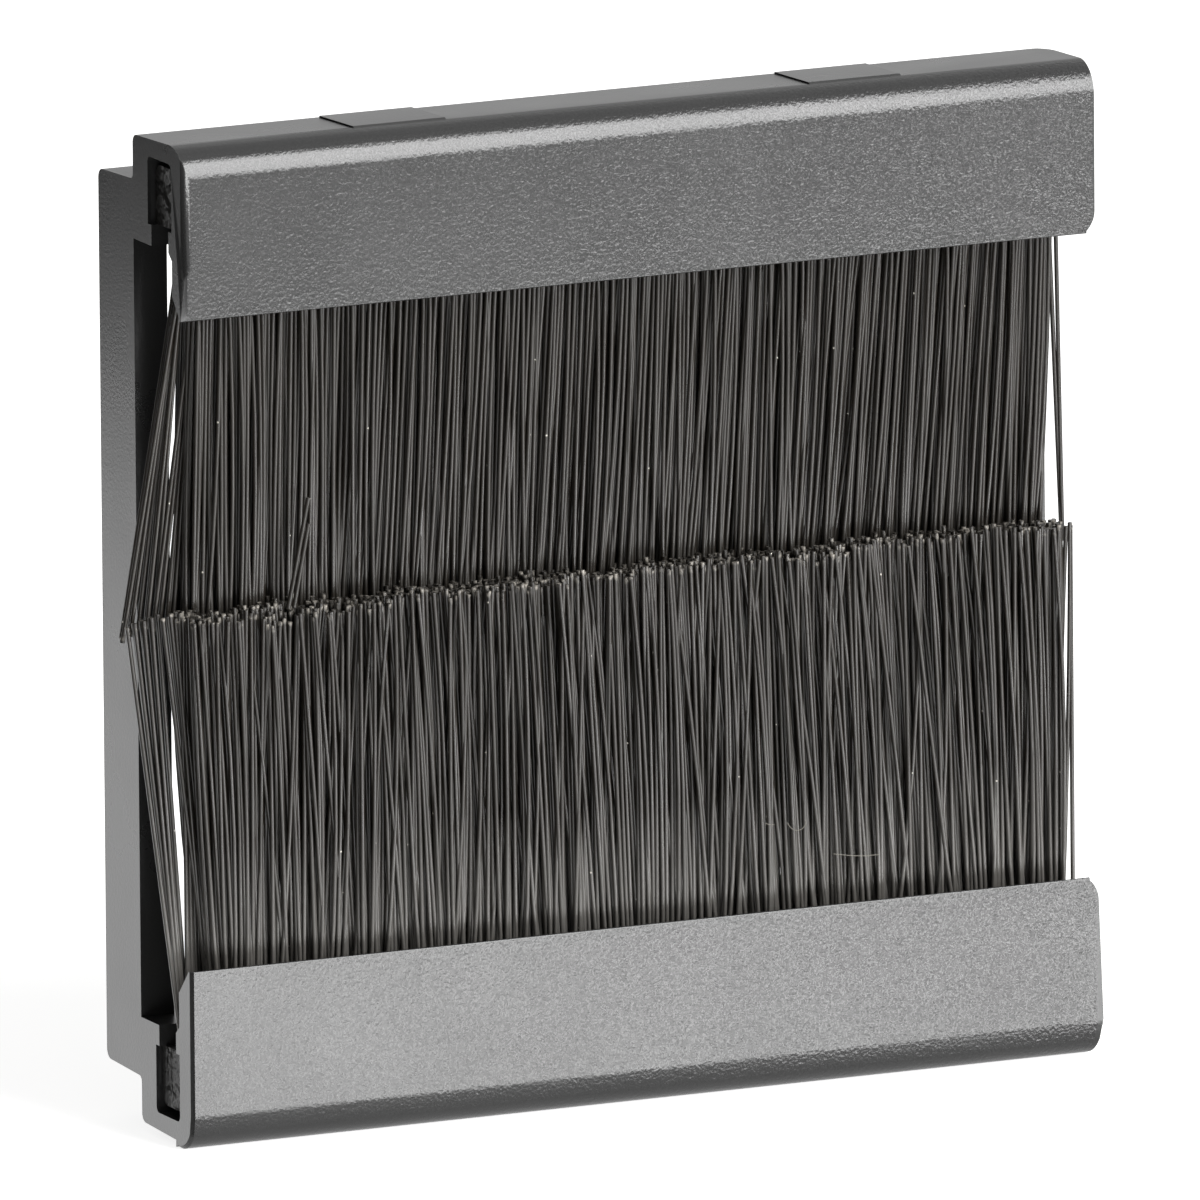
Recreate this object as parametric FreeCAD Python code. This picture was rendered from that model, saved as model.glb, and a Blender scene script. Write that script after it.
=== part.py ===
import FreeCAD, Part
import math
import os
import random

# Brush cable grommet: a square two-module insert for a wiring plate.
# One moulded frame holds two brush strips, one above and one below a cable window.
# X runs along the strips, Y from front to rear and Z up, all in millimetres.
# The origin is the middle of the plane of the two rear-facing seat ledges.

# Moulded frame, overall
width = 49.6
height = 50.2
draft_deg = 2.4

# Section of the upper channel, which the lower one mirrors but for its wall and its edge
front_wall = 1.45
upper_wall_height = 8.65
lower_wall_height = 8.9
front_round = 1.6
outer_wall = 1.05
slot_depth = 2.8
slot_height = 3.4
slot_round = 0.3
neck_width = 2.0
neck_height = 1.05
neck_bevel = 0.35
rear_wall = 1.75
seat_ledge = 2.5
seat_round = 0.45
step_fillet = 0.3
lip_round = 0.08
lower_edge_proud = 0.36

# Rear skirt, a rectangular ring behind the seat ledges
skirt_depth = 4.15
pillar_thickness = 1.8
skirt_round = 0.5

# Crush lugs on the outer flats, one pair on each
lug_spacing = 24.8
lug_length = 5.0
lug_height = 0.08
lug_ramp = 0.45

# Trimmed ends of the channels
ledge_corner_round = 1.6
lip_corner_width = 0.45
lip_corner_height = 1.15
lip_corner_step = 0.14
arris_round = 0.4
arris_fade = 2.6

# Brush strips
upper_inset_left = 0.4
upper_inset_right = 0.9
lower_inset_left = 0.3
lower_inset_right = 0.25
bar_side_clearance = 0.1
bar_outer_clearance = 0.4
bar_round = 0.6

# Filaments of a strip
filament = 0.26
filament_gap = 0.14
filament_rows = 3
neck_clearance = 0.2
upper_tip_z = 0.7
lower_tip_z = 1.3
tip_ragged = 0.3
crossing_gap = 0.16
sway_wave = 7.0
upper_root_inset = 1.2
lower_root_inset = 1.4
right_root_inset = 0.45
upper_splay = 3.5
lower_splay = 3.6
splay_reach = 2.0

# Levels from front to rear, with the seat plane at zero
front_y = -(front_wall + slot_depth + rear_wall)
slot_front_y = front_y + front_wall
slot_rear_y = slot_front_y + slot_depth
slot_mid_y = (slot_front_y + slot_rear_y) / 2
neck_front_y = slot_mid_y - neck_width / 2
neck_rear_y = slot_mid_y + neck_width / 2

# Levels from the middle outwards
half_width = width / 2
half_height = height / 2
slot_top_z = half_height - outer_wall
shoulder_z = slot_top_z - slot_height
window_z = shoulder_z - neck_height
upper_lip_z = half_height - upper_wall_height
lower_lip_z = half_height - lower_wall_height
skirt_z = half_height - seat_ledge
taper = math.tan(math.radians(draft_deg))


def flat_z(y):
    """Height of the drafted outer flat at a depth."""
    return half_height - taper * (y - front_y)


def section_face(corners, x):
    """Face at x from corners in order round a section, each (y, z, radius)."""
    points = [FreeCAD.Vector(x, y, z) for y, z, radius in corners]
    starts = []
    ends = []
    arcs = []
    for index, (y, z, radius) in enumerate(corners):
        point = points[index]
        before = (point - points[index - 1]).normalize()
        after = (points[(index + 1) % len(points)] - point).normalize()
        half_turn = before.getAngle(after) / 2
        reach = radius * math.tan(half_turn)
        start = point - before * reach
        end = point + after * reach
        starts.append(start)
        ends.append(end)
        if radius == 0:
            arcs.append(None)
            continue
        inward = (after - before).normalize()
        centre = point + inward * (radius / math.cos(half_turn))
        arcs.append(Part.Arc(start, centre - inward * radius, end).toShape())
    edges = []
    for index, arc in enumerate(arcs):
        edges.append(Part.makeLine(ends[index - 1], starts[index]))
        if arc:
            edges.append(arc)
    return Part.Face(Part.Wire(edges))


def run_along_x(corners, x_from, x_to):
    """Solid of a section carried along X."""
    return section_face(corners, x_from).extrude(FreeCAD.Vector(x_to - x_from, 0, 0))


def mirrored(shape):
    """The same shape on the other side of the middle plane."""
    return shape.mirror(FreeCAD.Vector(0, 0, 0), FreeCAD.Vector(0, 0, 1))


def box_between(low, high):
    """Box from its low corner to its high corner."""
    size = [top - bottom for bottom, top in zip(low, high)]
    return Part.makeBox(*size, FreeCAD.Vector(*low))


def channel(lip_z, edge_proud):
    """Channel as it lies above: front wall, T-slot, seat ledge and one wall of the skirt."""
    edge_y = front_y + front_round + edge_proud
    edge = [(front_y, half_height, front_round)]
    if edge_proud:
        edge = [
            (front_y, half_height + edge_proud, front_round),
            (edge_y, flat_z(edge_y) + edge_proud, 0),
            (edge_y, flat_z(edge_y), 0),
        ]
    corners = [
        (front_y, lip_z, lip_round),
        *edge,
        (0, flat_z(0), seat_round),
        (0, skirt_z, step_fillet),
        (skirt_depth, skirt_z - taper * skirt_depth, skirt_round),
        (skirt_depth, window_z, 0),
        (neck_rear_y, window_z, 0),
        (neck_rear_y, shoulder_z, 0),
        (slot_rear_y, shoulder_z, 0),
        (slot_rear_y, slot_top_z, slot_round),
        (slot_front_y, slot_top_z, slot_round),
        (slot_front_y, shoulder_z, 0),
        (neck_front_y, shoulder_z, 0),
        (neck_front_y, window_z, 0),
        (slot_front_y, window_z - neck_bevel, 0),
        (slot_front_y, lip_z, lip_round),
    ]
    return run_along_x(corners, -half_width, half_width)


def crush_lugs(edge_proud):
    """The pair of low ribs that grip the plate, ramped up from the front edge of the upper flat."""
    lug_front_y = front_y + front_round + edge_proud
    lug_rear_y = -seat_round
    root_z = half_height - outer_wall / 2
    corners = [
        (lug_front_y - lug_ramp, root_z, 0),
        (lug_front_y - lug_ramp, flat_z(lug_front_y) - 2 * lug_height, 0),
        (lug_front_y, flat_z(lug_front_y) + lug_height, 0),
        (lug_rear_y, flat_z(lug_rear_y) + lug_height, 0),
        (lug_rear_y, root_z, 0),
    ]
    lugs = []
    for side in (-1, 1):
        middle = side * lug_spacing / 2
        lugs.append(run_along_x(corners, middle - lug_length / 2, middle + lug_length / 2))
    return lugs


def pillars():
    """Two side walls of the skirt, run into its upper and lower walls."""
    reach_z = (window_z + skirt_z) / 2
    left = box_between(
        (-half_width, 0, -reach_z),
        (pillar_thickness - half_width, skirt_depth, reach_z),
    )
    right = box_between(
        (half_width - pillar_thickness, 0, -reach_z),
        (half_width, skirt_depth, reach_z),
    )
    return [left, right]


def lip_corner_waste(lip_z):
    """What the right-hand corner of a lip loses to an arc that ends in a small step."""
    rise = lip_corner_height - lip_corner_step
    radius = (lip_corner_width**2 + rise**2) / (2 * lip_corner_width)
    low = FreeCAD.Vector(half_width - lip_corner_width, front_y, lip_z)
    block = Part.makeBox(lip_corner_width, front_wall, lip_corner_height, low)
    axis_at = FreeCAD.Vector(half_width - radius, front_y, lip_z + lip_corner_height)
    return block.cut(Part.makeCylinder(radius, front_wall, axis_at, FreeCAD.Vector(0, 1, 0)))


def ledge_corner_waste():
    """What the seat ledge loses at its rounded right-hand end."""
    rise = half_height - skirt_z
    low = FreeCAD.Vector(half_width - ledge_corner_round, -ledge_corner_round, skirt_z)
    block = Part.makeBox(ledge_corner_round, ledge_corner_round, rise, low)
    return block.cut(Part.makeCylinder(ledge_corner_round, rise, low))


def arris_waste():
    """What the rounded left-hand arris of the upper front wall loses; the round fades out at the lip."""
    start_z = upper_lip_z + arris_fade
    x_in = arris_round - half_width
    y_in = front_y + arris_round
    middle = arris_round * (1 - math.sqrt(0.5))
    corner = FreeCAD.Vector(-half_width, front_y, start_z)
    outside = corner - FreeCAD.Vector(arris_round, arris_round, 0)
    side = FreeCAD.Vector(x_in, front_y, start_z)
    end = FreeCAD.Vector(-half_width, y_in, start_z)
    rest = [
        end,
        FreeCAD.Vector(outside.x, y_in, start_z),
        outside,
        FreeCAD.Vector(x_in, outside.y, start_z),
        side,
    ]
    arc = Part.Arc(side, corner + FreeCAD.Vector(middle, middle, 0), end).toShape()
    section = Part.Face(Part.Wire([arc] + Part.makePolygon(rest).Edges))
    straight = section.extrude(FreeCAD.Vector(0, 0, half_height - start_z))
    fading = section.extrude(FreeCAD.Vector(-arris_round, -arris_round, -arris_fade))
    return [straight, fading]


def frame():
    """The whole moulding."""
    halves = []
    for lip_z, edge_proud in ((upper_lip_z, 0), (lower_lip_z, lower_edge_proud)):
        ribbed = channel(lip_z, edge_proud).fuse(crush_lugs(edge_proud))
        halves.append(ribbed.cut([lip_corner_waste(lip_z), ledge_corner_waste()]))
    upper, lower = halves
    body = upper.fuse([mirrored(lower)] + pillars())
    return body.cut(arris_waste()).removeSplitter()


def brush_bar(x_from, x_to):
    """Backing bar of the upper strip, seated on the slot's two shoulders."""
    bar_front_y = slot_front_y + bar_side_clearance
    bar_rear_y = slot_rear_y - bar_side_clearance
    bar_top_z = slot_top_z - bar_outer_clearance
    corners = [
        (bar_front_y, shoulder_z, 0),
        (bar_front_y, bar_top_z, bar_round),
        (bar_rear_y, bar_top_z, bar_round),
        (bar_rear_y, shoulder_z, 0),
    ]
    return run_along_x(corners, x_from, x_to)


def filament_at(x, y, reach):
    """One filament of diamond section, from the bar's face along its reach."""
    half = filament / 2
    ring = [
        FreeCAD.Vector(x - half, y, shoulder_z),
        FreeCAD.Vector(x, y - half, shoulder_z),
        FreeCAD.Vector(x + half, y, shoulder_z),
        FreeCAD.Vector(x, y + half, shoulder_z),
    ]
    return Part.Face(Part.makePolygon(ring + ring[:1])).extrude(reach)


def bristles(x_from, x_to, length, splay, lean_side, seed):
    """Staggered rows of filaments of the upper strip, swaying and splayed at the left end.

    The lean carries a filament clear of the other strip's before it meets their tips.
    """
    draw = random.Random(seed)
    pitch = filament + filament_gap
    row_pitch = (neck_width - 2 * neck_clearance - filament) / (filament_rows - 1)
    bundle_depth = (filament_rows - 1) * row_pitch + filament
    free_length = length - (lower_tip_z - upper_tip_z) - tip_ragged
    lean = lean_side * (bundle_depth + crossing_gap) / 2 * (length + tip_ragged) / free_length
    sway_slope = filament_gap / pitch / 2
    sway = sway_slope * sway_wave / (2 * math.pi)
    phase = draw.uniform(0, 2 * math.pi)
    filaments = []
    for row in range(filament_rows):
        y = slot_mid_y + (row - (filament_rows - 1) / 2) * row_pitch
        first = x_from + pitch / 2 + (row % 2) * pitch / 2
        count = int((x_to - first - filament / 2) / pitch) + 1
        for index in range(count):
            x = first + index * pitch
            spread = -splay * math.exp((x_from - x) / splay_reach)
            swing = sway * math.sin(2 * math.pi * x / sway_wave + phase)
            drop = -length - draw.uniform(-tip_ragged, tip_ragged)
            filaments.append(filament_at(x, y, FreeCAD.Vector(swing + spread, lean, drop)))
    return Part.makeCompound(filaments)


upper_from = upper_inset_left - half_width
upper_to = half_width - upper_inset_right
lower_from = lower_inset_left - half_width
lower_to = half_width - lower_inset_right

# Upper tips lean to the rear and lower tips to the front, so that they pass each other.
upper_bristles = bristles(
    upper_from + upper_root_inset,
    upper_to - right_root_inset,
    shoulder_z - upper_tip_z,
    upper_splay,
    1,
    11,
)
lower_bristles = bristles(
    lower_from + lower_root_inset,
    lower_to - right_root_inset,
    shoulder_z + lower_tip_z,
    lower_splay,
    -1,
    23,
)

nodes = {
    "frame": frame(),
    "upper_brush_bar": brush_bar(upper_from, upper_to),
    "upper_bristles": upper_bristles,
    "lower_brush_bar": mirrored(brush_bar(lower_from, lower_to)),
    "lower_bristles": mirrored(lower_bristles),
}

os.makedirs("parts", exist_ok=True)
for name, shape in nodes.items():
    shape.exportStep(f"parts/{name}.step")
    print(name, len(shape.Solids), "solids", round(shape.Volume, 2), "mm3", shape.isValid())
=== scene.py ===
"""Looks of a brush cable grommet: a black moulded frame with two facing rows of bristles.

The frame and the two brush bars come from the solid model. This script dresses them, grows the
bristles filament by filament, and sets up a plain pale studio seen from the front left.
"""

import logging
import math
from dataclasses import dataclass
from enum import Enum

import bmesh
import bpy
from mathutils import Matrix, Vector

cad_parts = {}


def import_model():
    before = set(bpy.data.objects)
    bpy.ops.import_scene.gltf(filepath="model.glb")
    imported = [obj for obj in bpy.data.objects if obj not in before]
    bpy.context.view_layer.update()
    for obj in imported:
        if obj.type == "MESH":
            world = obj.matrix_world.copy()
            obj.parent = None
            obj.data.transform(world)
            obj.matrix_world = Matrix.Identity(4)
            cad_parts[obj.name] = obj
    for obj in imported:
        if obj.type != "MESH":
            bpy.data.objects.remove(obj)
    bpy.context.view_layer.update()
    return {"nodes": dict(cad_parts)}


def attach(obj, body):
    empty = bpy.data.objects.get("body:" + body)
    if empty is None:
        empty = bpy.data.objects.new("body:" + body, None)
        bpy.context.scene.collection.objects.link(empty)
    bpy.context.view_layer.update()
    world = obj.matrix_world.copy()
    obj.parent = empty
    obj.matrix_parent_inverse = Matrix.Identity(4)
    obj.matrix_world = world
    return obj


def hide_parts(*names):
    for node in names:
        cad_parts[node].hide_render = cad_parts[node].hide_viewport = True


LOG = logging.getLogger("brush_grommet")
BODY = "root"
MM = 0.001
WELD = 1e-6
GOLDEN_SHARE = 0.618


class Side(Enum):
    """Which of the two facing brush strips is meant; the value is the sign of its root height."""

    UPPER = 1
    LOWER = -1

    @property
    def label(self) -> str:
        """Name of the strip as the solid model writes it."""
        return self.name.lower()


def linear(hex_colour: str) -> tuple[float, float, float, float]:
    """Turn an sRGB hex colour into linear RGBA.

    Args:
        hex_colour: Colour as "#rrggbb".

    Returns:
        Linear red, green and blue with full opacity.
    """
    codes = [int(hex_colour[i : i + 2], 16) / 255 for i in (1, 3, 5)]
    rgb = [c / 12.92 if c <= 0.04045 else ((c + 0.055) / 1.055) ** 2.4 for c in codes]
    return (*rgb, 1.0)


def add_node(
    tree: bpy.types.NodeTree,
    kind: str,
    inputs: dict[str | int, object] | None = None,
    out: int | str = 0,
    **settings: object,
) -> bpy.types.NodeSocket | None:
    """Add a node to a tree with its settings and links.

    Args:
        tree: Shader or geometry tree that takes the node.
        kind: Node type name.
        inputs: Socket name or number to a value, to the output that feeds it, or to a list of outputs.
        out: Name or number of the output that is wanted.
        **settings: Properties of the node.

    Returns:
        The wanted output, or None for a node that ends its tree.
    """
    node = tree.nodes.new(kind)
    for name, value in settings.items():
        setattr(node, name, value)
    for key, value in (inputs or {}).items():
        for feed in value if isinstance(value, list) else [value]:
            if isinstance(feed, bpy.types.NodeSocket):
                tree.links.new(feed, node.inputs[key])
            else:
                node.inputs[key].default_value = feed
    return node.outputs[out] if node.outputs else None


def new_material(name: str) -> tuple[bpy.types.Material, bpy.types.NodeTree]:
    """Make an empty node material.

    Args:
        name: Name of the real material and how it was made.

    Returns:
        The material and its cleared node tree.
    """
    material = bpy.data.materials.new(name)
    material.use_nodes = True
    material.node_tree.nodes.clear()
    return material, material.node_tree


def link_object(name: str, data: bpy.types.ID) -> bpy.types.Object:
    """Put a mesh, a lamp or a camera in the scene as an object at the origin.

    Args:
        name: Name of the piece, lamp or camera.
        data: Lamp, camera, or mesh whose vertices are in place already.

    Returns:
        The linked object.
    """
    obj = bpy.data.objects.new(name, data)
    bpy.context.scene.collection.objects.link(obj)
    return obj


def hang_sheet(name: str, corners: list[Vector], cover: bpy.types.Material) -> bpy.types.Object:
    """Make a four-cornered sheet of the studio.

    Args:
        name: Name of the sheet.
        corners: Its four corners in order, in metres.
        cover: Its material.

    Returns:
        The sheet.
    """
    mesh = bpy.data.meshes.new(name)
    mesh.from_pydata(corners, [], [(0, 1, 2, 3)])
    mesh.materials.append(cover)
    sheet = link_object(name, mesh)
    return sheet


def direction(azimuth_deg: float, elevation_deg: float) -> Vector:
    """Point from the object towards a place in the studio.

    Args:
        azimuth_deg: Turn from straight in front, positive to the right.
        elevation_deg: Rise above the level.

    Returns:
        Unit vector.
    """
    turn, rise = math.radians(azimuth_deg), math.radians(elevation_deg)
    return Vector((math.sin(turn) * math.cos(rise), -math.cos(turn) * math.cos(rise), math.sin(rise)))


# Grained black plastic: speckled sheen on the front, calmer satin on the flats and ends.
@dataclass(frozen=True)
class MouldedAbs:
    """Injection-moulded black ABS with spark-eroded grain, deepest on the front skin."""

    name: str = "moulded_black_abs"
    tint: str = "#232323"
    ior: float = 1.54
    grained_roughness: float = 0.22
    smooth_roughness: float = 0.28
    grain_mm: float = 0.17
    grain_depth_mm: float = 0.036
    left_grain: float = 0.42
    glint: float = 0.75
    flat_grain: float = 0.2
    flow_mm: float = 7.0
    flow_share: tuple[float, float] = (0.3, 0.7)
    flow_drift: float = 0.02
    front_skin_mm: tuple[float, float] = (-4.65, -4.85)
    end_face_mm: tuple[float, float] = (24.76, 24.66)

    def build(self) -> bpy.types.Material:
        """Make the material.

        Returns:
            A material whose grain breaks the soft reflections into fine speckle.
        """
        material, tree = new_material(self.name)
        place = add_node(tree, "ShaderNodeTexCoord", out="Object")
        across, depth, _ = add_node(tree, "ShaderNodeSeparateXYZ", {0: place}).node.outputs
        outward = add_node(tree, "ShaderNodeMath", {0: across}, operation="ABSOLUTE")
        skin, face = (
            add_node(
                tree,
                "ShaderNodeMapRange",
                {"Value": value, "From Min": ends[0] * MM, "From Max": ends[1] * MM},
            )
            for value, ends in ((depth, self.front_skin_mm), (outward, self.end_face_mm))
        )
        front = add_node(tree, "ShaderNodeMath", {0: skin, 1: face}, operation="MULTIPLY")
        half = self.end_face_mm[0] * MM
        wear = add_node(
            tree,
            "ShaderNodeMapRange",
            {
                "Value": across,
                "From Min": -half,
                "From Max": half,
                "To Min": self.left_grain,
                "To Max": 1.0,
            },
        )
        relief = add_node(
            tree, "ShaderNodeMapRange", {"Value": front, "To Min": self.flat_grain, "To Max": wear}
        )
        grain, flow, fine = (
            add_node(
                tree, "ShaderNodeTexNoise", {"Vector": place, "Scale": 1 / (size * MM), "Detail": detail}
            )
            for size, detail in ((self.grain_mm, 2.5), (self.flow_mm, 3.0), (self.grain_mm / 2, 1.0))
        )
        sheen = add_node(
            tree,
            "ShaderNodeMapRange",
            {"Value": front, "To Min": self.smooth_roughness, "To Max": self.grained_roughness},
        )
        drift = add_node(
            tree,
            "ShaderNodeMapRange",
            {
                "Value": flow,
                "From Min": self.flow_share[0],
                "From Max": self.flow_share[1],
                "To Min": -self.flow_drift,
                "To Max": self.flow_drift,
            },
        )
        rough = add_node(tree, "ShaderNodeMath", {0: sheen, 1: drift}, operation="ADD")
        bump = add_node(
            tree,
            "ShaderNodeBump",
            {"Height": grain, "Strength": relief, "Distance": self.grain_depth_mm * MM},
        )
        uneven = add_node(tree, "ShaderNodeMath", {0: fine, 1: 0.5}, operation="SUBTRACT")
        facets = add_node(tree, "ShaderNodeMath", {0: uneven, 1: relief}, operation="MULTIPLY")
        glint = add_node(
            tree, "ShaderNodeMath", {0: facets, 1: self.glint, 2: 0.5}, operation="MULTIPLY_ADD"
        )
        shader = add_node(
            tree,
            "ShaderNodeBsdfPrincipled",
            {
                "Base Color": linear(self.tint),
                "IOR": self.ior,
                "Specular IOR Level": glint,
                "Roughness": rough,
                "Normal": bump,
            },
        )
        add_node(tree, "ShaderNodeOutputMaterial", {"Surface": shader})
        return material


# Dull black bar: reads as the dark core in the open ends of the slots.
@dataclass(frozen=True)
class ExtrudedBar:
    """Extruded black polypropylene: dull, with faint drag lines along its length and torn ends."""

    name: str = "extruded_black_polypropylene"
    tint: str = "#12110f"
    specular: float = 0.3
    roughness: float = 0.45
    stretch: float = 0.04
    line_mm: float = 0.12
    line_depth_mm: float = 0.006
    torn_mm: float = 0.9
    torn_depth_mm: float = 0.5

    def build(self) -> bpy.types.Material:
        """Make the material.

        Returns:
            A material with fine lines drawn along X and rugged where its end is cut.
        """
        material, tree = new_material(self.name)
        place = add_node(tree, "ShaderNodeTexCoord", out="Object")
        drawn = add_node(tree, "ShaderNodeMapping", {"Vector": place, "Scale": (self.stretch, 1.0, 1.0)})
        lines, torn = (
            add_node(tree, "ShaderNodeTexNoise", {"Vector": drawn, "Scale": 1 / (size * MM)})
            for size in (self.line_mm, self.torn_mm)
        )
        rugged = add_node(tree, "ShaderNodeBump", {"Height": torn, "Distance": self.torn_depth_mm * MM})
        bump = add_node(
            tree,
            "ShaderNodeBump",
            {"Height": lines, "Distance": self.line_depth_mm * MM, "Normal": rugged},
        )
        shader = add_node(
            tree,
            "ShaderNodeBsdfPrincipled",
            {
                "Base Color": linear(self.tint),
                "Specular IOR Level": self.specular,
                "Roughness": self.roughness,
                "Normal": bump,
            },
        )
        add_node(tree, "ShaderNodeOutputMaterial", {"Surface": shader})
        return material


# Glossy brown-black thread: long soft glints, with pale frayed flecks along the meeting line.
@dataclass(frozen=True)
class NylonFilament:
    """Extruded black nylon filament, pale where the cutter bruised its tip, with painted light: a lighter
    colour on the bristles near the lower lip.
    """

    name: str = "black_nylon_filament"
    tint: str = "#1f1c18"
    cut_tint: str = "#8f8a82"
    # Painted light: the lighter colour of the lower filaments near the lower lip, and the two heights over
    # which it is blended in.
    painted_lip_light_tint: str = "#464441"
    painted_lip_light_mm: tuple[float, float] = (-10.0, -15.2)
    ior: float = 1.53
    roughness: tuple[float, float] = (0.25, 0.42)
    sheen_mm: float = 0.5
    sheen_share: tuple[float, float] = (0.35, 0.6)
    stretch: float = 0.05
    cut_along: tuple[float, float] = (0.982, 0.996)
    fleck_mm: float = 0.35
    fleck_share: tuple[float, float] = (0.5, 0.72)
    dust_tint: str = "#b9b5ac"
    dust_apart_mm: float = 1.5
    dust_mm: float = 0.1

    def build(self) -> bpy.types.Material:
        """Make the material.

        Returns:
            A material that reads how far along its filament a point is.
        """
        material, tree = new_material(self.name)
        place = add_node(tree, "ShaderNodeTexCoord", out="Object")
        along = add_node(tree, "ShaderNodeAttribute", out="Fac", attribute_name="along")
        height = add_node(tree, "ShaderNodeSeparateXYZ", {0: place}, out="Z")
        fleck = add_node(
            tree,
            "ShaderNodeTexNoise",
            {"Vector": place, "Scale": 1 / (self.fleck_mm * MM), "Detail": 2.0},
        )
        patchy, end, lip_light = (
            add_node(tree, "ShaderNodeMapRange", {"Value": value, "From Min": first, "From Max": last})
            for value, (first, last) in (
                (fleck, self.fleck_share),
                (along, self.cut_along),
                (height, (edge * MM for edge in self.painted_lip_light_mm)),
            )
        )
        bruise = add_node(tree, "ShaderNodeMath", {0: end, 1: patchy}, operation="MULTIPLY")
        apart = add_node(
            tree, "ShaderNodeTexVoronoi", {"Vector": place, "Scale": 1 / (self.dust_apart_mm * MM)}
        )
        edge = self.dust_mm / self.dust_apart_mm / 2
        speck = add_node(tree, "ShaderNodeMath", {0: apart, 1: edge}, operation="LESS_THAN")
        colour = linear(self.tint)
        # The first layer is painted light, a lighter colour on the filaments near the lower lip; the others
        # are the bruised tips and the dust specks.
        for share, over in ((lip_light, self.painted_lip_light_tint), (bruise, self.cut_tint), (speck, self.dust_tint)):
            layers = {0: share, 6: colour, 7: linear(over)}
            colour = add_node(tree, "ShaderNodeMix", layers, out=2, data_type="RGBA")
        drawn = add_node(tree, "ShaderNodeMapping", {"Vector": place, "Scale": (1.0, 1.0, self.stretch)})
        sheen = add_node(
            tree, "ShaderNodeTexNoise", {"Vector": drawn, "Scale": 1 / (self.sheen_mm * MM)}
        )
        rough = add_node(
            tree,
            "ShaderNodeMapRange",
            {
                "Value": sheen,
                "From Min": self.sheen_share[0],
                "From Max": self.sheen_share[1],
                "To Min": self.roughness[0],
                "To Max": self.roughness[1],
            },
        )
        shader = add_node(
            tree, "ShaderNodeBsdfPrincipled", {"Base Color": colour, "IOR": self.ior, "Roughness": rough}
        )
        add_node(tree, "ShaderNodeOutputMaterial", {"Surface": shader})
        return material


# Pale cotton: a few hair-thin wisps that catch the light on the dark bristles.
@dataclass(frozen=True)
class CottonLint:
    """Loose cotton fibre."""

    name: str = "pale_cotton_lint"
    tint: str = "#6e6b65"

    def build(self) -> bpy.types.Material:
        """Make the material.

        Returns:
            A plain matt grey.
        """
        material, tree = new_material(self.name)
        fibre = add_node(tree, "ShaderNodeBsdfDiffuse", {"Color": linear(self.tint)})
        add_node(tree, "ShaderNodeOutputMaterial", {"Surface": fibre})
        return material


# Matt white paper: reads white to the eye and still takes the object's shadow.
@dataclass(frozen=True)
class PaleSweep:
    """Matt white studio paper."""

    name: str = "white_studio_paper"
    tint: str = "#e6e6e4"
    glow: float = 0.8

    def build(self) -> bpy.types.Material:
        """Make the material.

        Returns:
            A diffuse white that also glows where it is looked at.
        """
        material, tree = new_material(self.name)
        seen = looked_at(tree, 1.0)
        paper = add_node(tree, "ShaderNodeBsdfDiffuse", {"Color": linear(self.tint)})
        level = add_node(tree, "ShaderNodeMath", {0: seen, 1: self.glow}, operation="MULTIPLY")
        light = add_node(tree, "ShaderNodeEmission", {"Strength": level})
        both = add_node(tree, "ShaderNodeAddShader", {0: paper, 1: light})
        add_node(tree, "ShaderNodeOutputMaterial", {"Surface": both})
        return material


# Black cloth: keeps the reflections in the upper ends and the left-hand arrises deep.
@dataclass(frozen=True)
class FlagCloth:
    """Black duvetyne, a matt dark cloth."""

    name: str = "black_flag_cloth"
    tint: str = "#101010"

    def build(self) -> bpy.types.Material:
        """Make the material.

        Returns:
            A plain matt black.
        """
        material, tree = new_material(self.name)
        cloth = add_node(tree, "ShaderNodeBsdfDiffuse", {"Color": linear(self.tint)})
        add_node(tree, "ShaderNodeOutputMaterial", {"Surface": cloth})
        return material


def looked_at(tree: bpy.types.NodeTree, mirrored: float) -> bpy.types.NodeSocket:
    """Add a switch for rays that look at the backdrop rather than gather light from it.

    Args:
        tree: Shader tree of the floor or the world.
        mirrored: Share that a glossy reflection sees.

    Returns:
        Output that is 1 for camera and transmission rays and the share for glossy ones.
    """
    path = add_node(tree, "ShaderNodeLightPath").node.outputs
    seen = add_node(
        tree, "ShaderNodeMath", {0: path["Is Glossy Ray"], 1: mirrored}, operation="MULTIPLY"
    )
    for ray in ("Is Camera Ray", "Is Transmission Ray"):
        seen = add_node(tree, "ShaderNodeMath", {0: path[ray], 1: seen}, operation="MAXIMUM")
    return seen


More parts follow.
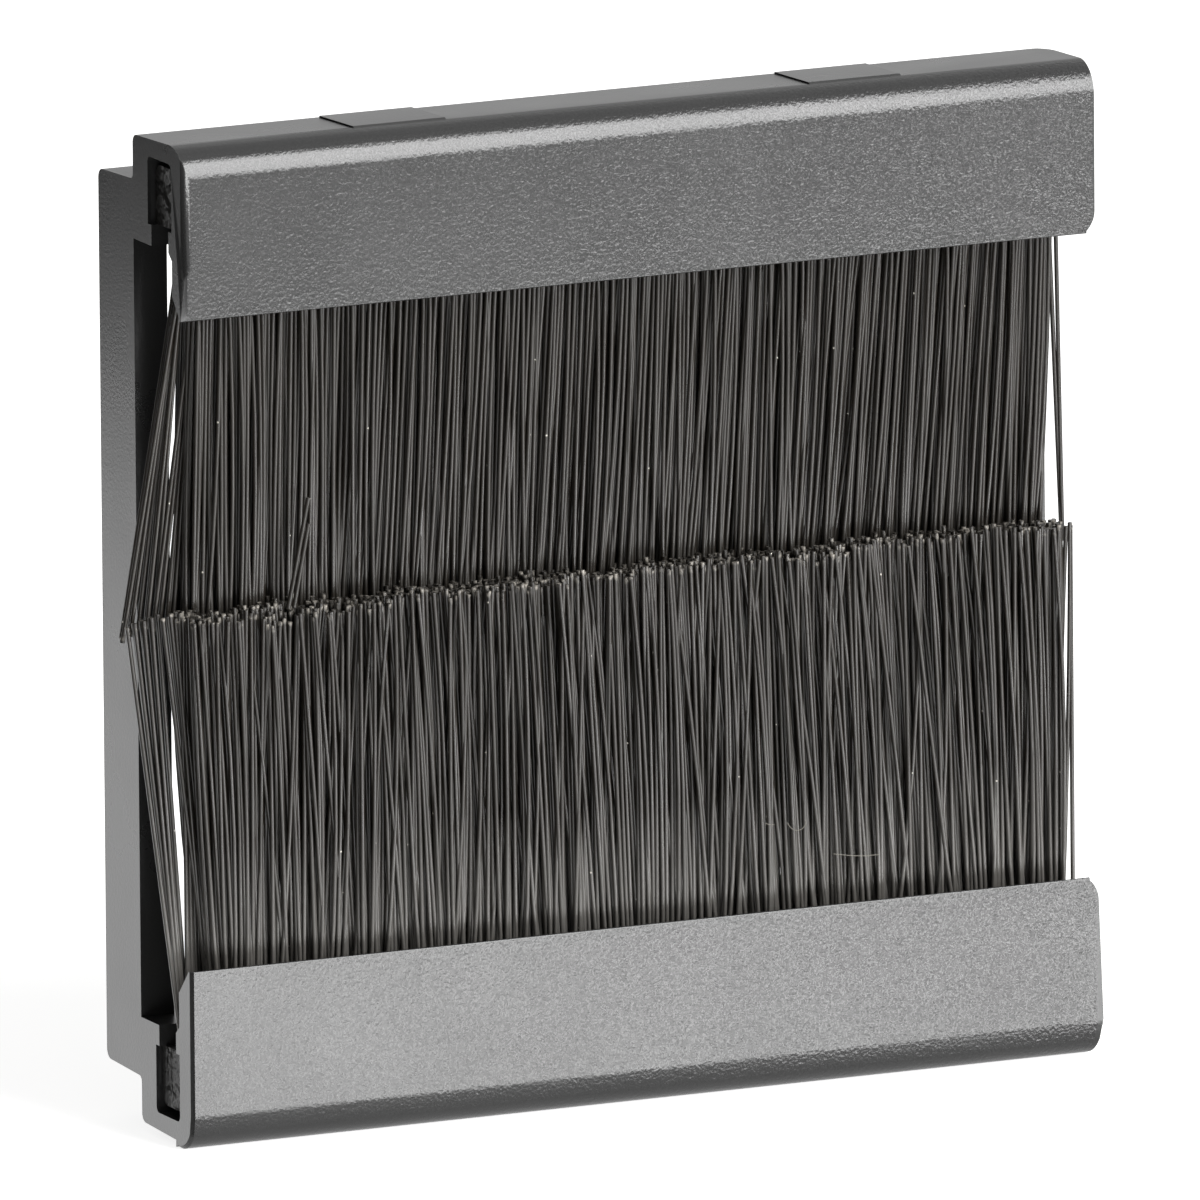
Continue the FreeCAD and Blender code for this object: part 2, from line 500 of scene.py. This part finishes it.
@dataclass
class FrameMoulding:
    """The one-piece moulded frame: the solid's shape with its lips honed and its worn edges eased."""

    node: bpy.types.Object
    lip_from_mm: tuple[float, float, float] = (-24.75, -5.9, 16.3)
    lip_height_mm: float = 0.6
    lip_drag_mm: float = 0.2
    rake_from_mm: tuple[float, float] = (23.0, -16.2)
    rake: float = 0.04
    toe_mm: float = -25.46
    toe_slope: float = 3.4
    lip_wall_mm: tuple[float, float] = (-5.92, -4.55)
    lips_mm: tuple[tuple[float, float], ...] = ((16.45, 1.0), (-16.2, -1.3))
    past_wall: float = 1.01
    under_lip: float = -0.05
    left_end_mm: float = -24.8
    ease_mm: float = 0.17
    front_mm: float = -6.0
    rounds_mm: tuple[float, float] = (1.6, 1.95)
    touch_mm: float = 0.01
    tangent_mm: float = 0.1
    skin_share: float = 0.95
    flat_deg: float = 0.3
    sharp_deg: float = 35.0

    def build(self, finish: bpy.types.Material) -> bpy.types.Object:
        """Copy the solid, work its lips and edges, and dress it.

        Args:
            finish: Moulded plastic.

        Returns:
            The finished piece, riding on the body.
        """
        mesh = bpy.data.meshes.new("frame_moulding")
        work = bmesh.new()
        work.from_mesh(self.node.data)
        bmesh.ops.remove_doubles(work, verts=work.verts, dist=WELD)
        bmesh.ops.dissolve_limit(
            work,
            angle_limit=math.radians(self.flat_deg),
            verts=work.verts,
            edges=work.edges,
            delimit=set(),
        )
        self.hone_lips(work)
        self.widen_round(work)
        self.ease_arris(work)
        self.drag_lip(work)
        self.rake_end(work)
        work.to_mesh(mesh)
        work.free()
        mesh.polygons.foreach_set("use_smooth", [True] * len(mesh.polygons))
        mesh.set_sharp_from_angle(angle=math.radians(self.sharp_deg))
        mesh.materials.append(finish)
        piece = link_object("frame_moulding", mesh)
        flats = piece.modifiers.new("flat_faces_lead", "WEIGHTED_NORMAL")
        flats.keep_sharp = True
        flats.weight = 100
        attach(piece, BODY)
        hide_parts("frame")
        return piece

    def hone_lips(self, work: bmesh.types.BMesh) -> None:
        """Slope the inside of both lips away from the window, so that each ends in a thin front edge.

        Args:
            work: Merged copy of the solid.
        """
        front, back = (value * MM for value in self.lip_wall_mm)
        for lip, rise in self.lips_mm:
            for v in work.verts:
                share = (v.co.y - front) / (back - front)
                if share < self.past_wall and self.under_lip < (v.co.z / MM - lip) / rise < share:
                    v.co.z = (lip + rise * share) * MM
        bmesh.ops.remove_doubles(work, verts=work.verts, dist=2 * WELD)
        bmesh.ops.dissolve_degenerate(work, dist=WELD, edges=work.edges)

    def widen_round(self, work: bmesh.types.BMesh) -> None:
        """Widen the round under the lower wall.

        Args:
            work: Merged copy of the solid.
        """
        drawn, worn = self.rounds_mm
        grown = worn / drawn
        for v in work.verts:
            y, z = v.co.y / MM - self.front_mm - drawn, v.co.z / MM - self.toe_mm - drawn
            if y < self.touch_mm and z < self.tangent_mm and math.hypot(y, z) > drawn - 2 * self.touch_mm:
                v.co.y = (self.front_mm + worn + y * grown) * MM
                v.co.z = (self.toe_mm + worn + z * grown) * MM

    def ease_arris(self, work: bmesh.types.BMesh) -> None:
        """Take down the front arris at the left-hand end of the lower wall to a narrow flat.

        Args:
            work: Merged copy of the solid.
        """
        end, ease, lip, touch, reach = (
            size * MM
            for size in (
                self.left_end_mm, self.ease_mm, self.lips_mm[1][0], self.touch_mm, self.rounds_mm[1]
            )
        )
        whole = [*work.verts, *work.edges, *work.faces]
        bmesh.ops.bisect_plane(
            work, geom=whole, plane_co=(end + ease, 0.0, 0.0), plane_no=(1.0, 0.0, 0.0)
        )
        deep, low = (value * MM + reach for value in (self.front_mm, self.toe_mm))
        for v in work.verts:
            out = v.co - Vector((v.co.x, deep, max(v.co.z, low)))
            on_end = v.co.x < end + touch and v.co.z < lip + touch and v.co.y < deep
            if on_end and out.length > reach * self.skin_share:
                v.co -= out.normalized() * ease

    def drag_lip(self, work: bmesh.types.BMesh) -> None:
        """Draw the left-hand corner of the upper lip outwards, as the cutter left it.

        Args:
            work: Merged copy of the solid.
        """
        end, front, low = (value * MM for value in self.lip_from_mm)
        for v in work.verts:
            if v.co.x < end and v.co.y < front and low < v.co.z < low + self.lip_height_mm * MM:
                v.co.x -= self.lip_drag_mm * MM

    def rake_end(self, work: bmesh.types.BMesh) -> None:
        """Lean the right-hand end of the lower wall outwards, and tuck its bottom edge back in.

        Args:
            work: Merged copy of the solid.
        """
        end, lip = (value * MM for value in self.rake_from_mm)
        toe = self.toe_mm * MM
        for v in work.verts:
            if v.co.x > end and v.co.z < lip:
                v.co.x += self.rake * min(lip - v.co.z, self.toe_slope * (v.co.z - toe))


@dataclass(frozen=True)
class Stray:
    """One filament that leaves the rows: where it starts and how far away its tip is."""

    start_mm: tuple[float, float, float]
    reach_mm: tuple[float, float, float]

    def tuft(self, last: "Stray", count: int) -> list["Stray"]:
        """Set strays side by side from this one to another, with their reaches in mixed order.

        Args:
            last: Stray at the far side.
            count: How many in all.

        Returns:
            Strays that cross each other.
        """
        ends = ((self.start_mm, last.start_mm), (self.reach_mm, last.reach_mm))
        shares = [(i / count, i * GOLDEN_SHARE % 1) for i in range(count)]
        return [
            Stray(
                *(tuple(a + (b - a) * part for a, b in zip(*pair)) for part, pair in zip(share, ends))
            )
            for share in shares
        ]


@dataclass
class BrushStrip:
    """One strip: its bar stays the solid, and its bristles grow from the bar through the neck.

    Pairs are values at the left-hand and right-hand end; triples run along X, Y and Z.
    """

    side: Side
    ends_mm: tuple[float, float]
    reach_mm: tuple[float, float]
    lean_mm: tuple[float, float]
    depth_lean_mm: float
    splay_mm: float
    cluster_mm: tuple[float, float, float]
    loose_mm: tuple[float, float, float]
    bow_mm: tuple[float, float, float]
    seed: int
    strays: tuple[Stray, ...]
    root_z_mm: float = 20.65
    row_y_mm: float = -3.15
    row_depth_mm: float = 1.55
    columns: int = 205
    rows: int = 9
    jitter_mm: float = 0.06
    filament_mm: float = 0.23
    cluster_size_mm: float = 4.5
    cluster_layers: float = 10.0
    splay_zone_mm: float = 2.5
    splay_steady: float = 0.75
    calm_zone_mm: float = 3.0
    calm_share: float = 0.4
    flare_from: float = 0.975
    flare: float = 1.1
    segments: int = 7
    facets: int = 6

    @property
    def name(self) -> str:
        """Piece name of the bristles."""
        return f"{self.side.label}_filaments"

    def settings(self, finish: bpy.types.Material) -> dict[str, tuple[str, object]]:
        """List the tree's inputs.

        Args:
            finish: Filament material.

        Returns:
            Input name to socket type and value, in metres.
        """
        sign = self.side.value
        left, right = self.ends_mm
        half = (right - left) / 2
        metres = {
            "Half Length": half,
            "Row Length": 2 * half,
            "Row Depth": self.row_depth_mm,
            "Filament Radius": self.filament_mm / 2,
            "Left Reach": -sign * self.reach_mm[0],
            "Right Reach": -sign * self.reach_mm[1],
            "Left Lean": self.lean_mm[0],
            "Right Lean": self.lean_mm[1],
            "Depth Lean": self.depth_lean_mm,
            "Splay": -self.splay_mm,
            "Splay From": self.splay_zone_mm - half,
            "Calm From": half - self.calm_zone_mm,
        }
        vectors = {
            "Row Middle": ((left + right) / 2, self.row_y_mm, sign * self.root_z_mm),
            "Jitter": (self.jitter_mm, self.jitter_mm, 0.0),
            "Cluster": self.cluster_mm,
            "Loose": self.loose_mm,
            "Bow": self.bow_mm,
        }
        whole = {
            "Columns": self.columns,
            "Rows": self.rows,
            "Points": self.segments + 1,
            "Facets": self.facets,
            "Seed": self.seed,
        }
        values = {name: ("NodeSocketFloat", value * MM) for name, value in metres.items()}
        values |= {name: ("NodeSocketVector", Vector(value) * MM) for name, value in vectors.items()}
        values |= {name: ("NodeSocketInt", value) for name, value in whole.items()}
        values["Clusters Per Metre"] = ("NodeSocketFloat", 1 / (self.cluster_size_mm * MM))
        values["Calm Share"] = ("NodeSocketFloat", self.calm_share)
        values["Finish"] = ("NodeSocketMaterial", finish)
        return values

    def tree(self, values: dict[str, tuple[str, object]]) -> bpy.types.NodeTree:
        """Build the node tree that grows the filaments.

        Args:
            values: Inputs as settings() lists them.

        Returns:
            A geometry tree with one named input for each size.
        """
        tree = bpy.data.node_groups.new(f"{self.name}_rows", "GeometryNodeTree")
        tree.interface.new_socket("Geometry", in_out="INPUT", socket_type="NodeSocketGeometry")
        for name, (kind, _) in values.items():
            tree.interface.new_socket(name, in_out="INPUT", socket_type=kind)
        tree.interface.new_socket("Geometry", in_out="OUTPUT", socket_type="NodeSocketGeometry")
        given = add_node(tree, "NodeGroupInput").node.outputs
        roots = add_node(tree, "GeometryNodeJoinGeometry", {0: [self.rooted(tree, given), given["Geometry"]]})
        add_node(tree, "NodeGroupOutput", {0: self.grown(tree, given, roots)})
        return tree

    def rooted(self, tree: bpy.types.NodeTree, given: bpy.types.bpy_prop_collection) -> bpy.types.NodeSocket:
        """Lay out the roots and give each the way to its tip and its bow.

        Args:
            tree: Geometry tree.
            given: Outputs of the group input.

        Returns:
            Points along the bar's face.
        """
        half = given["Half Length"]
        points = add_node(
            tree,
            "GeometryNodeMeshGrid",
            {
                "Size X": given["Row Length"],
                "Size Y": given["Row Depth"],
                "Vertices X": given["Columns"],
                "Vertices Y": given["Rows"],
            },
        )
        here = add_node(tree, "GeometryNodeInputPosition")
        across = add_node(tree, "ShaderNodeSeparateXYZ", {0: here})
        start = add_node(tree, "ShaderNodeMath", {0: half, 1: -1.0}, operation="MULTIPLY")
        lean, height = (
            add_node(
                tree,
                "ShaderNodeMapRange",
                {
                    "Value": across,
                    "From Min": start,
                    "From Max": half,
                    "To Min": given[f"Left {what}"],
                    "To Max": given[f"Right {what}"],
                },
            )
            for what in ("Lean", "Reach")
        )
        shift, loose, wave = (
            add_node(
                tree,
                "FunctionNodeRandomValue",
                {
                    0: (-1.0, -1.0, -1.0),
                    1: (1.0, 1.0, 1.0),
                    "Seed": add_node(tree, "ShaderNodeMath", {0: given["Seed"], 1: turn}, operation="ADD"),
                },
                data_type="FLOAT_VECTOR",
            )
            for turn in (0.0, 1.0, 2.0)
        )
        layers = (1.0, self.cluster_layers, 0.0)
        layered = add_node(tree, "ShaderNodeVectorMath", {0: here, 1: layers}, operation="MULTIPLY")
        patches = add_node(
            tree,
            "ShaderNodeTexNoise",
            {"Vector": layered, "W": given["Seed"], "Scale": given["Clusters Per Metre"], "Detail": 1.0},
            out="Color",
            noise_dimensions="4D",
        )
        soft = add_node(tree, "ShaderNodeVectorMath", {0: patches, 1: (0.5, 0.5, 0.5)}, operation="SUBTRACT")
        sway = add_node(tree, "ShaderNodeVectorMath", {0: soft, 1: given["Cluster"]}, operation="MULTIPLY")
        square = add_node(tree, "ShaderNodeVectorMath", {0: loose, 1: loose}, operation="MULTIPLY")
        rare = add_node(tree, "ShaderNodeVectorMath", {0: square, 1: loose}, operation="MULTIPLY")
        astray = add_node(
            tree, "ShaderNodeVectorMath", {0: rare, 1: given["Loose"], 2: sway}, operation="MULTIPLY_ADD"
        )
        drift = add_node(tree, "ShaderNodeCombineXYZ", {0: lean})
        moved = add_node(tree, "ShaderNodeVectorMath", {0: astray, 1: drift}, operation="ADD")
        calm = add_node(
            tree,
            "ShaderNodeMapRange",
            {
                "Value": add_node(tree, "ShaderNodeMath", {0: across}, operation="ABSOLUTE"),
                "From Min": given["Calm From"],
                "From Max": half,
                "To Min": 1.0,
                "To Max": given["Calm Share"],
            },
        )
        settled = add_node(tree, "ShaderNodeVectorMath", {0: moved, "Scale": calm}, operation="SCALE")
        fan = add_node(
            tree,
            "ShaderNodeMapRange",
            {"Value": across, "From Min": given["Splay From"], "From Max": start},
        )
        widening = add_node(tree, "ShaderNodeMath", {0: fan, 1: fan}, operation="MULTIPLY")
        chance = add_node(tree, "ShaderNodeSeparateXYZ", {0: wave}, out="Z")
        uneven = add_node(
            tree,
            "ShaderNodeMath",
            {0: chance, 1: 1 - self.splay_steady, 2: self.splay_steady},
            operation="MULTIPLY_ADD",
        )
        widest = add_node(tree, "ShaderNodeMath", {0: uneven, 1: given["Splay"]}, operation="MULTIPLY")
        splay = add_node(tree, "ShaderNodeMath", {0: widening, 1: widest}, operation="MULTIPLY")
        straight = add_node(tree, "ShaderNodeCombineXYZ", {0: splay, 1: given["Depth Lean"], 2: height})
        reach = add_node(tree, "ShaderNodeVectorMath", {0: straight, 1: settled}, operation="ADD")
        bow = add_node(tree, "ShaderNodeVectorMath", {0: wave, 1: given["Bow"]}, operation="MULTIPLY")
        for name, value in (("reach", reach), ("bow", bow)):
            points = add_node(
                tree,
                "GeometryNodeStoreNamedAttribute",
                {"Geometry": points, "Name": name, "Value": value},
                data_type="FLOAT_VECTOR",
            )
        offset = add_node(
            tree,
            "ShaderNodeVectorMath",
            {0: shift, 1: given["Jitter"], 2: given["Row Middle"]},
            operation="MULTIPLY_ADD",
        )
        return add_node(tree, "GeometryNodeSetPosition", {"Geometry": points, "Offset": offset})

    def grown(
        self, tree: bpy.types.NodeTree, given: bpy.types.bpy_prop_collection, roots: bpy.types.NodeSocket
    ) -> bpy.types.NodeSocket:
        """Grow a filament from every root.

        Args:
            tree: Geometry tree.
            given: Outputs of the group input.
            roots: Points with reach and bow.

        Returns:
            The finished mesh.
        """
        rooted = add_node(
            tree,
            "GeometryNodeStoreNamedAttribute",
            {"Geometry": roots, "Name": "root", "Value": add_node(tree, "GeometryNodeInputPosition")},
            data_type="FLOAT_VECTOR",
        )
        line = add_node(tree, "GeometryNodeCurvePrimitiveLine", {"End": (0.0, 0.0, 1.0)})
        divided = add_node(tree, "GeometryNodeResampleCurve", {"Curve": line, "Count": given["Points"]})
        copies = add_node(tree, "GeometryNodeInstanceOnPoints", {"Points": rooted, "Instance": divided})
        curves = add_node(tree, "GeometryNodeRealizeInstances", {0: copies})
        step = add_node(tree, "GeometryNodeSplineParameter", out="Factor")
        crowded = add_node(tree, "ShaderNodeMath", {0: 2.0, 1: step}, operation="SUBTRACT")
        curves = add_node(
            tree,
            "GeometryNodeStoreNamedAttribute",
            {
                "Geometry": curves,
                "Name": "along",
                "Value": add_node(tree, "ShaderNodeMath", {0: step, 1: crowded}, operation="MULTIPLY"),
            },
            data_type="FLOAT",
        )
        root, reach, bow, run = (
            add_node(tree, "GeometryNodeInputNamedAttribute", {"Name": name}, data_type=kind)
            for name, kind in (
                ("root", "FLOAT_VECTOR"),
                ("reach", "FLOAT_VECTOR"),
                ("bow", "FLOAT_VECTOR"),
                ("along", "FLOAT"),
            )
        )
        rest = add_node(tree, "ShaderNodeMath", {0: 1.0, 1: run}, operation="SUBTRACT")
        arch = add_node(tree, "ShaderNodeMath", {0: run, 1: rest}, operation="MULTIPLY")
        place = root
        for way, share in ((reach, run), (bow, arch)):
            moved = add_node(tree, "ShaderNodeVectorMath", {0: way, "Scale": share}, operation="SCALE")
            place = add_node(tree, "ShaderNodeVectorMath", {0: place, 1: moved}, operation="ADD")
        curves = add_node(tree, "GeometryNodeSetPosition", {"Geometry": curves, "Position": place})
        ring = add_node(
            tree,
            "GeometryNodeCurvePrimitiveCircle",
            {"Resolution": given["Facets"], "Radius": given["Filament Radius"]},
        )
        flare = add_node(
            tree,
            "ShaderNodeMapRange",
            {"Value": run, "From Min": self.flare_from, "To Min": 1.0, "To Max": self.flare},
        )
        tubes = add_node(
            tree,
            "GeometryNodeCurveToMesh",
            {"Curve": curves, "Profile Curve": ring, "Scale": flare, "Fill Caps": True},
        )
        smooth = add_node(tree, "GeometryNodeSetShadeSmooth", {"Geometry": tubes})
        solid = add_node(tree, "GeometryNodeRealizeInstances", {0: smooth})
        return add_node(tree, "GeometryNodeSetMaterial", {"Geometry": solid, "Material": given["Finish"]})

    def stray_roots(self) -> bpy.types.Mesh:
        """Make the points from which the strays grow.

        Returns:
            A mesh of loose vertices with the same attributes as the rows.
        """
        mesh = bpy.data.meshes.new(f"{self.name}_strays")
        mesh.from_pydata([Vector(stray.start_mm) * MM for stray in self.strays], [], [])
        reach = mesh.attributes.new("reach", "FLOAT_VECTOR", "POINT")
        mesh.attributes.new("bow", "FLOAT_VECTOR", "POINT")
        for i, stray in enumerate(self.strays):
            reach.data[i].vector = Vector(stray.reach_mm) * MM
        return mesh

    def build(self, finish: bpy.types.Material) -> bpy.types.Object:
        """Grow the bristles and make them one plain mesh.

        Args:
            finish: Filament material.

        Returns:
            The finished piece, riding on the body.
        """
        source = link_object(f"{self.name}_roots", self.stray_roots())
        values = self.settings(finish)
        tree = self.tree(values)
        modifier = source.modifiers.new("rows", "NODES")
        modifier.node_group = tree
        for item in tree.interface.items_tree:
            if item.in_out == "INPUT" and item.name in values:
                modifier[item.identifier] = values[item.name][1]
        graph = bpy.context.evaluated_depsgraph_get()
        mesh = bpy.data.meshes.new_from_object(source.evaluated_get(graph))
        mesh.name = self.name
        source.modifiers.remove(modifier)
        bpy.data.objects.remove(source)
        piece = link_object(self.name, mesh)
        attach(piece, BODY)
        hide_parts(f"{self.side.label}_bristles")
        return piece


@dataclass(frozen=True)
class Lint:
    """Wisps of lint caught on the front of the lower bristles; their points are X and Z."""

    depth_mm: float = -5.0
    thread_mm: float = 0.04
    wisps_mm: tuple[tuple[tuple[float, float], ...], ...] = (
        ((7.01, -11.94), (7.23, -12.11), (7.5, -12.05)),
        ((8.18, -12.01), (8.36, -12.34), (8.75, -12.52), (9.07, -12.41), (9.26, -12.1), (9.16, -11.98)),
        ((10.71, -13.86), (11.49, -14.02), (12.39, -14.14), (13.23, -14.14)),
    )

    def build(self, finish: bpy.types.Material) -> bpy.types.Object:
        """Bend the wisps and make them one plain mesh.

        Args:
            finish: Lint material.

        Returns:
            The finished piece, riding on the body.
        """
        threads = bpy.data.curves.new("lint_threads", "CURVE")
        threads.dimensions = "3D"
        threads.bevel_depth = self.thread_mm * MM / 2
        threads.bevel_resolution = 1
        threads.use_fill_caps = True
        for wisp in self.wisps_mm:
            spline = threads.splines.new("NURBS")
            spline.points.add(len(wisp) - 1)
            spline.order_u = 3
            spline.use_endpoint_u = True
            for point, (x, z) in zip(spline.points, wisp):
                point.co = (x * MM, self.depth_mm * MM, z * MM, 1.0)
        source = bpy.data.objects.new("lint_threads", threads)
        mesh = bpy.data.meshes.new_from_object(source)
        bpy.data.objects.remove(source)
        mesh.materials.append(finish)
        piece = link_object("lint", mesh)
        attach(piece, BODY)
        return piece


@dataclass(frozen=True)
class Softbox:
    """A rectangular lamp that faces the object."""

    name: str
    azimuth_deg: float
    elevation_deg: float
    distance: float
    width: float
    height: float
    radiance: float

    def build(self) -> bpy.types.Object:
        """Hang the lamp.

        Returns:
            The lamp, hidden from the camera itself.
        """
        lamp = bpy.data.lights.new(self.name, "AREA")
        lamp.shape = "RECTANGLE"
        lamp.size, lamp.size_y = self.width, self.height
        lamp.energy = self.radiance * math.pi * self.width * self.height
        obj = link_object(self.name, lamp)
        towards = direction(self.azimuth_deg, self.elevation_deg)
        facing = towards.to_track_quat("Z", "Y").to_matrix().to_4x4()
        obj.matrix_world = Matrix.Translation(towards * self.distance) @ facing
        obj.visible_camera = False
        return obj


@dataclass(frozen=True)
class Flag:
    """An upright dark cloth that only reflections see."""

    name: str
    azimuth_deg: float
    distance: float
    width: float
    low: float
    high: float

    def build(self, cloth: bpy.types.Material) -> bpy.types.Object:
        """Hang the cloth.

        Args:
            cloth: Flag material.

        Returns:
            The flag.
        """
        out = direction(self.azimuth_deg, 0.0)
        across = Vector((out.y, -out.x, 0.0)) * (self.width / 2)
        corners = [
            out * self.distance + across * side + Vector((0.0, 0.0, z))
            for side, z in ((-1, self.low), (1, self.low), (1, self.high), (-1, self.high))
        ]
        flag = hang_sheet(self.name, corners, cloth)
        flag.visible_camera = flag.visible_diffuse = flag.visible_shadow = False
        return flag


@dataclass
class Studio:
    """Pale floor, soft lamps and the camera at the photograph's angle."""

    floor_z_mm: float = -25.39
    floor_size: float = 4.0
    ambient: float = 0.25
    mirrored: float = 0.7
    azimuth_deg: float = -24.97
    elevation_deg: float = 11.69
    roll_deg: float = -0.434
    distance: float = 1.972
    lens_mm: float = 1197.0
    sensor_mm: float = 36.0
    clip: tuple[float, float] = (0.05, 20.0)
    aim_mm: tuple[float, float, float] = (0.0, -6.0, 0.0)
    aim_left_mm: float = 2.196
    aim_up_mm: float = 0.194
    flags: tuple[Flag, ...] = (
        Flag("end_flag", -155.0, 0.2, 0.3, -0.027, 0.25),
        Flag("side_flag", -75.0, 0.5, 0.9, -0.4, 0.5),
    )
    lamps: tuple[Softbox, ...] = (
        Softbox("key_softbox", 28.0, 27.0, 0.9, 0.62, 0.85, 10.2),
        Softbox("low_front_strip", 28.0, -19.0, 0.2, 0.15, 0.05, 9.6),
        Softbox("front_fill", -34.0, -24.0, 0.2, 0.12, 0.06, 4.0),
        Softbox("low_side_panel", -155.0, -14.0, 0.5, 0.4, 0.16, 1.4),
    )

    def build(self, paper: bpy.types.Material, cloth: bpy.types.Material) -> None:
        """Set up floor, flags, world, lamps and camera.

        Args:
            paper: Floor material.
            cloth: Flag material.
        """
        self.lay_floor(paper)
        for flag in self.flags:
            flag.build(cloth)
        self.light_world()
        for lamp in self.lamps:
            lamp.build()
        self.set_camera()

    def lay_floor(self, paper: bpy.types.Material) -> None:
        """Lay the floor under the object.

        Args:
            paper: Floor material.
        """
        half, z = self.floor_size / 2, self.floor_z_mm * MM
        corners = [Vector((half * x, half * y, z)) for x, y in ((-1, -1), (1, -1), (1, 1), (-1, 1))]
        floor = hang_sheet("floor", corners, paper)
        floor.visible_glossy = floor.visible_shadow = False

    def light_world(self) -> None:
        """Give the world a low ambient level, white where it is looked at."""
        world = bpy.data.worlds.new("studio")
        bpy.context.scene.world = world
        world.use_nodes = True
        tree = world.node_tree
        tree.nodes.clear()
        seen = looked_at(tree, self.mirrored)
        level = add_node(
            tree, "ShaderNodeMapRange", {"Value": seen, "To Min": self.ambient, "To Max": 1.0}
        )
        sky = add_node(tree, "ShaderNodeBackground", {"Color": linear("#ffffff"), "Strength": level})
        add_node(tree, "ShaderNodeOutputWorld", {"Surface": sky})

    def set_camera(self) -> None:
        """Place the camera where the photograph was taken from."""
        turn, roll = math.radians(self.azimuth_deg), math.radians(self.roll_deg)
        back = direction(self.azimuth_deg, self.elevation_deg)
        level = Vector((math.cos(turn), math.sin(turn), 0.0))
        above = back.cross(level)
        right = level * math.cos(roll) + above * math.sin(roll)
        up = above * math.cos(roll) - level * math.sin(roll)
        aim = (Vector(self.aim_mm) - right * self.aim_left_mm + up * self.aim_up_mm) * MM
        turned = Matrix((right, up, back)).transposed().to_4x4()
        lens = bpy.data.cameras.new("camera")
        lens.lens, lens.sensor_width = self.lens_mm, self.sensor_mm
        lens.clip_start, lens.clip_end = self.clip
        camera = link_object("camera", lens)
        camera.matrix_world = Matrix.Translation(aim + back * self.distance) @ turned
        bpy.context.scene.camera = camera


def brush_strips() -> tuple[BrushStrip, BrushStrip]:
    """Describe the two strips as they lie, with their strays.

    Returns:
        The upper and the lower strip.
    """
    upper = BrushStrip(
        side=Side.UPPER,
        ends_mm=(-23.2, 23.4),
        reach_mm=(19.85, 20.2),
        lean_mm=(-0.2, -1.2),
        depth_lean_mm=0.7,
        splay_mm=0.3,
        cluster_mm=(3.2, 0.9, 0.7),
        loose_mm=(0.8, 0.4, 0.15),
        bow_mm=(1.0, 1.2, 0.0),
        seed=11,
        strays=(
            Stray((23.44, -3.2, 20.65), (0.89, 0.2, -20.25)),
            Stray((23.86, -3.3, 20.65), (0.47, 0.2, -20.25)),
            *Stray((-23.5, -3.7, 20.65), (-3.7, 0.2, -20.5)).tuft(
                Stray((-23.4, -2.6, 20.65), (-1.3, 0.6, -19.7)), 8
            ),
            Stray((-22.48, -3.2, 20.65), (-2.8, 0.3, -20.2)),
            Stray((-22.42, -3.0, 20.65), (-2.4, 0.35, -20.1)),
            *Stray((-22.4, -2.9, 20.65), (-1.96, 0.4, -20.0)).tuft(
                Stray((-22.3, -2.6, 20.65), (-1.7, 0.5, -19.9)), 5
            ),
        ),
    )
    lower = BrushStrip(
        side=Side.LOWER,
        ends_mm=(-22.45, 23.9),
        reach_mm=(21.75, 22.2),
        lean_mm=(-0.6, -1.3),
        depth_lean_mm=-0.9,
        splay_mm=1.8,
        cluster_mm=(5.5, 1.2, 2.0),
        loose_mm=(1.9, 0.6, 0.25),
        bow_mm=(1.2, 2.0, 0.0),
        seed=23,
        cluster_size_mm=3.6,
        strays=(
            Stray((24.45, -3.85, -20.65), (0.05, 0.2, 21.9)),
            *Stray((-24.3, -3.8, -20.65), (-2.9, -0.3, 21.7)).tuft(
                Stray((-23.5, -2.9, -20.65), (-1.65, -0.6, 22.1)), 9
            ),
            *Stray((-23.76, -3.3, -20.65), (-0.28, -0.5, 21.9)).tuft(
                Stray((-22.5, -2.8, -20.65), (-0.9, -0.7, 22.2)), 8
            ),
            *Stray((-22.36, -3.4, -20.65), (-2.83, -0.5, 21.9)).tuft(
                Stray((-21.5, -2.8, -20.65), (-2.3, -0.6, 22.2)), 8
            ),
            Stray((-18.7, -4.6, 1.3), (1.2, 0.15, 5.4)),
            Stray((-18.4, -4.6, 1.3), (0.9, 0.15, 4.1)),
        ),
    )
    return upper, lower


def main() -> None:
    """Build the grommet's looks in order and report each piece."""
    logging.basicConfig(level=logging.INFO, format="%(name)s: %(message)s")
    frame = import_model()
    bpy.context.scene.view_settings.view_transform = "Standard"
    abs_black, bar_black, nylon = MouldedAbs().build(), ExtrudedBar().build(), NylonFilament().build()
    moulding = FrameMoulding(frame["nodes"]["frame"]).build(abs_black)
    LOG.info("%s: %d faces", moulding.name, len(moulding.data.polygons))
    for strip in brush_strips():
        bar = frame["nodes"][f"{strip.side.label}_brush_bar"]
        bar.data.materials[0] = bar_black
        for piece in (bar, strip.build(nylon)):
            LOG.info("%s: %d faces", piece.name, len(piece.data.polygons))
    lint = Lint().build(CottonLint().build())
    LOG.info("%s: %d faces", lint.name, len(lint.data.polygons))
    Studio().build(PaleSweep().build(), FlagCloth().build())


if __name__ == "__main__":
    main()
